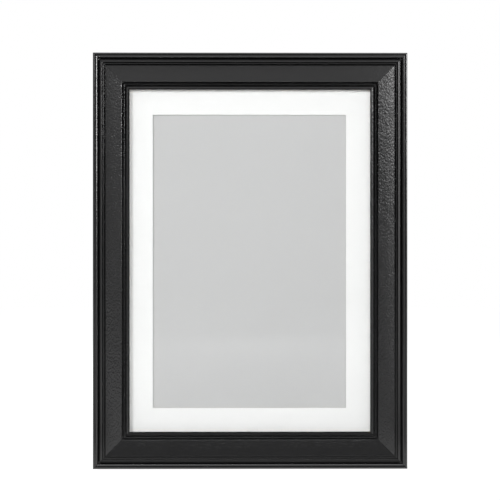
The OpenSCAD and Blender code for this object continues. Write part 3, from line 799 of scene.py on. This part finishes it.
def rivets(places, y, grip):
    """Rivets with their heads on the plane y, through the given grip, and their tails in front."""
    tail = FIT - grip
    section = [(0, tail, 0), (RIVET_TAIL_R, tail, 0.1), (RIVET_TAIL_R, tail + RIVET_TAIL_H, 0.1),
               (RIVET_R, tail + RIVET_TAIL_H, 0), (RIVET_R, 0, 0), (RIVET_HEAD_R, 0, 0.06),
               (RIVET_HEAD_R, RIVET_RIM, 0.12), (RIVET_HEAD_R * 0.62, RIVET_HEAD_H - 0.08, 0.45),
               (0, RIVET_HEAD_H, 0)]
    return together([placed(turned(section), x, y, z) for x, z in places])


low, high = HINGE.z + LEAF_EDGE, HINGE.z + BACK_LEAF_TOP
near, far = OUTER_KNUCKLE
back_leaf = rolled([
    (-BACK_LEAF_W, low, ARRIS), (-far, low, NOTCH_R), (-far, HINGE.z, 0), (-near, HINGE.z, 0),
    (-near, low, NOTCH_R), (near, low, NOTCH_R), (near, HINGE.z, 0), (far, HINGE.z, 0),
    (far, low, NOTCH_R), (BACK_LEAF_W, low, ARRIS), (BACK_LEAF_W, high, LEAF_CORNER),
    (-BACK_LEAF_W, high, LEAF_CORNER)
], REAR_Y, LEAF_T, HINGE, ROLLED)
piece(back_leaf, "hinge_back_leaf_plate", "frame", ["hinge_back_leaf"], [zinc])
rivet_finish = plated_steel("tumbled_rivet_steel", "#9DA0A3", "#C6C8CA", 0.22, 0.38)
piece(rivets(BACK_RIVETS, REAR_Y + LEAF_T, PANEL_T + LEAF_T), "hinge_back_rivet_pair", "frame",
      ["hinge_back_rivets"], [rivet_finish])


# Easel leg. A tapered strip of the same hardboard, smooth side out, wider at the foot, with rounded
# corners and a shallow arch between its two toes. It folds flat and opens to lean the frame back.
LEG_LOW, LEG_HIGH = (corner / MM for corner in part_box("easel_leg"))
LEG_T = LEG_HIGH.y - LEG_LOW.y
LEG_TOP_W = 34
LEG_TOP_R = 4
FOOT_R = 5
ARCH_H = 3
ARCH_R = 10.875


def leg_board():
    """The leg with its arch and its rivet holes."""
    bm = bmesh.new()
    outline = surface(bm, lambda x, z: (x, LEG_LOW.y, z), [
        (LEG_LOW.x, LEG_LOW.z, FOOT_R), (LEG_HIGH.x, LEG_LOW.z, FOOT_R),
        (LEG_TOP_W / 2, LEG_HIGH.z, LEG_TOP_R), (-LEG_TOP_W / 2, LEG_HIGH.z, LEG_TOP_R)
    ])
    pull(bm, [outline], (0, LEG_T, 0))
    saw = turned([(0, -1, 0), (ARCH_R, -1, 0), (ARCH_R, LEG_T + 1, 0), (0, LEG_T + 1, 0)], 160)
    bm = cut(bm, placed(saw, 0, LEG_LOW.y, LEG_LOW.z + ARCH_H - ARCH_R))
    return cut(ease(bm, BOARD_ARRIS), rivet_holes(LEG_RIVETS, LEG_LOW.y, LEG_T))


piece(leg_board(), "easel_leg_board", "leg", ["easel_leg"],
      [hardboard("hardboard_leg_smooth_side", (1, 1, 0.5))])


# Hinge leaf on the leg. Its middle tongue is rolled round the pin, and two ears run up beside the
# knuckles until they meet the panel's leaf and stop the open leg. Two rivets hold it to the leg.
LEG_LEAF_W = 13.4
LEG_LEAF_DROP = 20
EAR_W = 3
EAR_R = 0.6
EAR_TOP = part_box("hinge_leg_leaf")[1].z / MM

low, high = HINGE.z - LEG_LEAF_DROP, HINGE.z - LEAF_EDGE
inner_ear = LEG_LEAF_W - EAR_W
leg_leaf = rolled([
    (-LEG_LEAF_W, low, LEAF_CORNER), (LEG_LEAF_W, low, LEAF_CORNER),
    (LEG_LEAF_W, EAR_TOP, EAR_R), (inner_ear, EAR_TOP, EAR_R), (inner_ear, high, NOTCH_R),
    (INNER_KNUCKLE, high, NOTCH_R), (INNER_KNUCKLE, HINGE.z, 0), (-INNER_KNUCKLE, HINGE.z, 0),
    (-INNER_KNUCKLE, high, NOTCH_R), (-inner_ear, high, NOTCH_R), (-inner_ear, EAR_TOP, EAR_R),
    (-LEG_LEAF_W, EAR_TOP, EAR_R)
], LEG_HIGH.y, LEAF_T, HINGE, ROLLED)
piece(leg_leaf, "hinge_leg_leaf_plate", "leg", ["hinge_leg_leaf"], [zinc])
piece(rivets(LEG_RIVETS, LEG_HIGH.y + LEAF_T, LEG_T + LEAF_T), "hinge_leg_rivet_pair", "leg",
      ["hinge_leg_rivets"], [rivet_finish])


# Hinge pin. Bright drawn wire through the three knuckles, fast in the outer two, its ends peened
# over to small domed heads.
PIN_R = 1.02
PIN_HEAD_R = 1.4
PIN_HEAD_T = 0.5

end = OUTER_KNUCKLE[1]
half_pin = [(PIN_R, end, 0), (PIN_HEAD_R, end, 0.05), (PIN_HEAD_R, end + 0.25, 0.12),
            (PIN_HEAD_R * 0.6, end + PIN_HEAD_T - 0.05, 0.15), (0, end + PIN_HEAD_T, 0)]
pin = turned([(radius, -along, ease_r) for radius, along, ease_r in reversed(half_pin)] + half_pin)
piece(placed(pin, *HINGE, turn=90, lean=0), "hinge_pin_wire", "frame", ["hinge_pin"],
      [plated_steel("drawn_pin_steel", "#8F9194", "#B9BBBD", 0.18, 0.3)])


# Hanger straps. Two strips of plated steel with a round end, rolled round the bar of a ring and
# riveted through the panel: one for hanging the frame upright and one for hanging it sideways.
STRAP_HALF_W = 4
STRAP_L = 14
STRAP_T = 0.7
LOOP_R = TOP_RING.y - REAR_Y


def strap_blank():
    """Strap that runs down from the ring's pivot, which is at the origin."""
    return rolled([(-STRAP_HALF_W, 0, 0), (-STRAP_HALF_W, -STRAP_L, STRAP_HALF_W),
                   (STRAP_HALF_W, -STRAP_L, STRAP_HALF_W), (STRAP_HALF_W, 0, 0)],
                  -LOOP_R, STRAP_T, Vector(), -ROLLED)


for name, pivot, turn in (("top", TOP_RING, 0), ("side", SIDE_RING, 90)):
    piece(placed(strap_blank(), *pivot, turn=turn, lean=0), f"hanger_strap_{name}_plate", "frame",
          ["hanger_strap_" + name], [zinc])
piece(rivets(STRAP_RIVETS, REAR_Y + STRAP_T, PANEL_T + STRAP_T), "hanger_rivet_pair", "frame",
      ["hanger_rivets"], [rivet_finish])


# Hanging rings. Two rings bent from nickel plated wire: a bar through the strap's loop, where the
# cut ends meet, short straight sides and a round bow. Each swings from the panel up to the nail.
WIRE_R = 0.75
BOW_R = 6.5
RING_SIDE = 1.5
BEND_R = 0.95
BUTT_GAP = 0.1


def ring_blank():
    """Ring that hangs down from its bar, which is at the origin: one half, bent and mirrored."""
    bm = bmesh.new()
    start = Matrix.Translation((0, 0, -RING_SIDE - BOW_R)) @ Matrix.Rotation(math.pi / 2, 4, "Y")
    bmesh.ops.create_circle(bm, radius=WIRE_R, segments=20, matrix=start)
    end = bm.verts[:] + bm.edges[:]

    def bend(end, x, z, steps):
        return bmesh.ops.spin(bm, geom=end, cent=(x, 0, z), axis=(0, 1, 0),
                              angle=-math.pi / 2, steps=steps)["geom_last"]

    def run(end, vector):
        edges = [part for part in end if isinstance(part, bmesh.types.BMEdge)]
        made = bmesh.ops.extrude_edge_only(bm, edges=edges)["geom"]
        made = [part for part in made if not isinstance(part, bmesh.types.BMFace)]
        verts = [part for part in made if isinstance(part, bmesh.types.BMVert)]
        bmesh.ops.translate(bm, verts=verts, vec=vector)
        return verts + [part for part in made if isinstance(part, bmesh.types.BMEdge)
                        and set(part.verts) <= set(verts)]

    end = bend(end, 0, -RING_SIDE, 32)
    end = run(end, (0, 0, RING_SIDE - BEND_R))
    end = bend(end, BOW_R - BEND_R, -BEND_R, 10)
    end = run(end, (BEND_R + BUTT_GAP / 2 - BOW_R, 0, 0))
    bmesh.ops.contextual_create(bm, geom=[e for e in end if isinstance(e, bmesh.types.BMEdge)])
    bmesh.ops.mirror(bm, geom=bm.verts[:] + bm.edges[:] + bm.faces[:], merge_dist=0.001, axis="X")
    bmesh.ops.recalc_face_normals(bm, faces=bm.faces)
    return bm


nickel = plated_steel("nickel_plated_wire", "#B5B2AA", "#DAD7CF", 0.1, 0.2)
for name, pivot, turn in (("top", TOP_RING, 0), ("side", SIDE_RING, 90)):
    piece(placed(ring_blank(), *pivot, turn=turn, lean=0), f"hanging_ring_{name}_wire",
          "ring_" + name, ["hanging_ring_" + name], [nickel])


# Camera. It stands far off for a small frame, level, a little above the middle and one degree to
# its left, so that the frame's left edge comes out a trace longer and shows a little of its side.
CAMERA_D = 1500
CAMERA_RISE = 5.3
CAMERA_TURN = math.radians(-1)
PIXELS_PER_MM = 2.036
FRAME_PIXELS = 500
SENSOR = 36

view = bpy.data.cameras.new("camera")
view.sensor_width = SENSOR
view.lens = PIXELS_PER_MM * CAMERA_D * SENSOR / FRAME_PIXELS
camera = put("camera", view)
camera.location = Matrix.Rotation(CAMERA_TURN, 3, "Z") @ Vector(
    (0, REAR_Y - RAIL_D - CAMERA_D, MID_Z + CAMERA_RISE)) * MM
camera.rotation_euler = (math.pi / 2, 0, CAMERA_TURN)
bpy.context.scene.camera = camera
bpy.context.scene.view_settings.view_transform = "Standard"


# Lamps. A soft key from the upper left and one from the front light the frame without being
# mirrored in it. The boxes, cards and wing at the sides are only mirrored, and give the beads and
# the broad faces their bright lines and soft falls of grey. A box behind lights the back.
OBJECT_MID = Vector((0, 0, MID_Z * MM))


def softbox(name, azimuth, elevation, distance, width, height, watts, lights=True, mirrored=True):
    """Rectangular lamp aimed at the frame; azimuth is from the front towards the right."""
    lamp = bpy.data.lights.new(name, "AREA")
    lamp.shape = "RECTANGLE"
    lamp.size = width
    lamp.size_y = height
    lamp.energy = watts
    box = put(name, lamp)
    around, up = math.radians(azimuth), math.radians(elevation)
    heading = Vector((math.sin(around) * math.cos(up), -math.cos(around) * math.cos(up),
                      math.sin(up)))
    box.location = OBJECT_MID + heading * distance
    box.rotation_euler = (-heading).to_track_quat("-Z", "Y").to_euler()
    box.visible_camera = False
    box.visible_diffuse = lights
    box.visible_glossy = mirrored


softbox("key_box", -22.5, 15.5, 1.7, 0.3, 0.3, 9.6, mirrored=False)
softbox("front_box", 4, 10, 2.2, 0.35, 0.35, 13.9, mirrored=False)
softbox("left_box", -32, 16, 1.6, 0.42, 0.5, 3.4, lights=False)
softbox("right_box", 63, 6.2, 1.6, 0.3, 0.18, 6.5, lights=False)
softbox("right_card", 42, 17, 1.8, 0.6, 0.7, 1.8, lights=False)
softbox("left_card", -26, 6, 1.6, 0.2, 1.2, 1.5, lights=False)
softbox("left_flag", -28, 11.5, 1.5, 0.2, 0.3, 1, lights=False)
softbox("left_wing", -60, 17, 1.6, 0.8, 0.5, 6.5, lights=False)
softbox("back_box", 205, 35, 1.8, 0.8, 0.8, 20)


# White table. Matt paper without an end, on which the frame stands, white to the camera and with the
# frame's soft shadow. To gloss it shows a painted glow, a pattern of painted light set by place:
# dark in a strip in line with the camera, brightest beside that, and pale close to the frame and
# where it is seen steeply.
TABLE = 8.0
TABLE_GAP = 0.00005
TABLE_WHITE = "#EDEDED"
TABLE_GLOW = 0.93
TABLE_LIT = 0.2
TABLE_PAINTED_GLOW_ACROSS = [(-1.0, 0.48), (-0.42, 0.54), (-0.2, 0.72), (-0.1, 0.9), (-0.085, 0.02),
                (0.075, 0.02), (0.09, 2.2), (0.15, 1.5), (0.2, 1.2), (0.31, 0.95), (0.42, 0.8),
                (1.0, 0.62)]
TABLE_PAINTED_GLOW_STEEP = 0.88
TABLE_PAINTED_GLOW_CLOSE = 1.4
CLOSE_FROM, CLOSE_TO = -0.19, -0.13

grid = bmesh.new()
bmesh.ops.create_grid(grid, x_segments=1, y_segments=1, size=TABLE / 2,
                      matrix=Matrix.Translation((0, 0, -TABLE_GAP)))
table = put("white_table", mesh_of(grid, "white_table"))
made, tree, shader, where = finish_of("white_table_paper", Roughness=0.9, Specular_IOR_Level=0.0)
shader.inputs["Base Color"].default_value = linear(TABLE_WHITE)
path = add(tree, "ShaderNodeLightPath")
part = add(tree, "ShaderNodeSeparateXYZ", links={"Vector": where})
# the painted dark strip is worked out from the camera's place, and widens to the front as its
# mirrored view does
away = add(tree, "ShaderNodeMath", {"operation": "MULTIPLY_ADD"},
           {1: -1 / (CAMERA_D * MM), 2: 1.0}, {0: part.outputs["Y"]})
across = add(tree, "ShaderNodeMath", {"operation": "MULTIPLY_ADD"}, {1: -math.tan(CAMERA_TURN)},
             {0: part.outputs["Y"], 2: part.outputs["X"]})
across = add(tree, "ShaderNodeMath", {"operation": "DIVIDE"},
             links={0: across.outputs[0], 1: away.outputs[0]})
across = add(tree, "ShaderNodeMapRange", values={"From Min": -1.0},
             links={"Value": across.outputs[0]})
sides = add(tree, "ShaderNodeValToRGB", links={0: across.outputs["Result"]})
for place, level in TABLE_PAINTED_GLOW_ACROSS:
    stop = sides.color_ramp.elements.new((place + 1) / 2)
    stop.color = (level, level, level, 1)
sides.color_ramp.elements.remove(sides.color_ramp.elements[0])
sides.color_ramp.elements.remove(sides.color_ramp.elements[-1])
slant = add(tree, "ShaderNodeLayerWeight")
steep = add(tree, "ShaderNodeMapRange",
            values={"From Min": 0.66, "From Max": 0.5, "To Max": TABLE_PAINTED_GLOW_STEEP},
            links={"Value": slant.outputs["Facing"]})
close = add(tree, "ShaderNodeMapRange",
            values={"From Min": CLOSE_FROM, "From Max": CLOSE_TO, "To Max": TABLE_PAINTED_GLOW_CLOSE},
            links={"Value": part.outputs["Y"]})
near = add(tree, "ShaderNodeMath", {"operation": "MAXIMUM"},
           links={0: steep.outputs["Result"], 1: close.outputs["Result"]})
near = add(tree, "ShaderNodeMath", {"operation": "MAXIMUM"},
           links={0: near.outputs[0], 1: sides.outputs["Color"]})
# painted glow: what gloss sees of the table is set by place and slant, not by the lamps
mirrored = add(tree, "ShaderNodeMix", {"data_type": "FLOAT"}, {2: 1.0},
               {0: path.outputs["Is Glossy Ray"], 3: near.outputs[0]})
glow = add(tree, "ShaderNodeEmission", values={"Strength": TABLE_GLOW},
           links={"Color": mirrored.outputs[0]})
lit = add(tree, "ShaderNodeBsdfDiffuse", values={"Color": (TABLE_LIT, TABLE_LIT, TABLE_LIT, 1)})
white = add(tree, "ShaderNodeAddShader", links={0: glow.outputs[0], 1: lit.outputs[0]})
seen = add(tree, "ShaderNodeMath", {"operation": "MAXIMUM"},
           links={0: path.outputs["Is Camera Ray"], 1: path.outputs["Is Glossy Ray"]})
seen = add(tree, "ShaderNodeMath", {"operation": "MAXIMUM"},
           links={0: seen.outputs[0], 1: path.outputs["Is Transmission Ray"]})
look = add(tree, "ShaderNodeMixShader",
           links={0: seen.outputs[0], 1: shader.outputs[0], 2: white.outputs[0]})
tree.links.new(look.outputs[0], tree.nodes["Material Output"].inputs["Surface"])
table.data.materials.append(made)


# White room. The camera and the clear sheet see plain white, and what is matt gets an even fill.
# Gloss mirrors pale walls, a dark one behind the camera and a dimmer one on the left, with a soft
# bright panel overhead.
FILL = 0.37
CAMERA_WALL = 0.02
NEAR_WALL = 0.8
SIDE_WALL = 0.52
BACK_WALL = 0.75
LEFT_DIMMER = 0.72
CEILING = 0.75
OVERHEAD = 2.2

world = bpy.data.worlds.new("white_room")
bpy.context.scene.world = world
world.use_nodes = True
tree = world.node_tree
path = add(tree, "ShaderNodeLightPath")
part = add(tree, "ShaderNodeSeparateXYZ",
           links={"Vector": add(tree, "ShaderNodeTexCoord").outputs["Generated"]})
behind = add(tree, "ShaderNodeMapRange", values={"From Min": -1.0},
             links={"Value": part.outputs["Y"]})
walls = add(tree, "ShaderNodeValToRGB", links={0: behind.outputs["Result"]})
for place, level in ((0.03, CAMERA_WALL), (0.056, NEAR_WALL), (0.07, NEAR_WALL),
                     (0.095, SIDE_WALL), (0.4, SIDE_WALL), (0.7, BACK_WALL)):
    stop = walls.color_ramp.elements.new(place)
    stop.color = (level, level, level, 1)
walls.color_ramp.elements.remove(walls.color_ramp.elements[0])
walls.color_ramp.elements.remove(walls.color_ramp.elements[-1])
ceiling = add(tree, "ShaderNodeMapRange",
              values={"From Max": 0.5, "To Min": 1.0, "To Max": CEILING},
              links={"Value": part.outputs["Z"]})
overhead = add(tree, "ShaderNodeMapRange",
               values={"From Min": 0.72, "From Max": 0.88, "To Max": OVERHEAD},
               links={"Value": part.outputs["Z"]})
left = add(tree, "ShaderNodeMapRange",
           values={"From Min": -0.6, "From Max": -0.1, "To Min": LEFT_DIMMER},
           links={"Value": part.outputs["X"]})
walls = add(tree, "ShaderNodeMath", {"operation": "MULTIPLY"},
            links={0: walls.outputs["Color"], 1: left.outputs["Result"]})
mirrored = add(tree, "ShaderNodeMath", {"operation": "MULTIPLY_ADD"},
               links={0: walls.outputs[0], 1: ceiling.outputs["Result"],
                      2: overhead.outputs["Result"]})
seen = add(tree, "ShaderNodeMath", {"operation": "MAXIMUM"},
           links={0: path.outputs["Is Camera Ray"], 1: path.outputs["Is Transmission Ray"]})
plain = add(tree, "ShaderNodeMapRange", values={"To Min": FILL},
            links={"Value": seen.outputs[0]})
strength = add(tree, "ShaderNodeMix", {"data_type": "FLOAT"},
               links={0: path.outputs["Is Glossy Ray"], 2: plain.outputs["Result"],
                      3: mirrored.outputs[0]})
tree.nodes["Background"].inputs["Color"].default_value = (1, 1, 1, 1)
tree.links.new(strength.outputs[0], tree.nodes["Background"].inputs["Strength"])
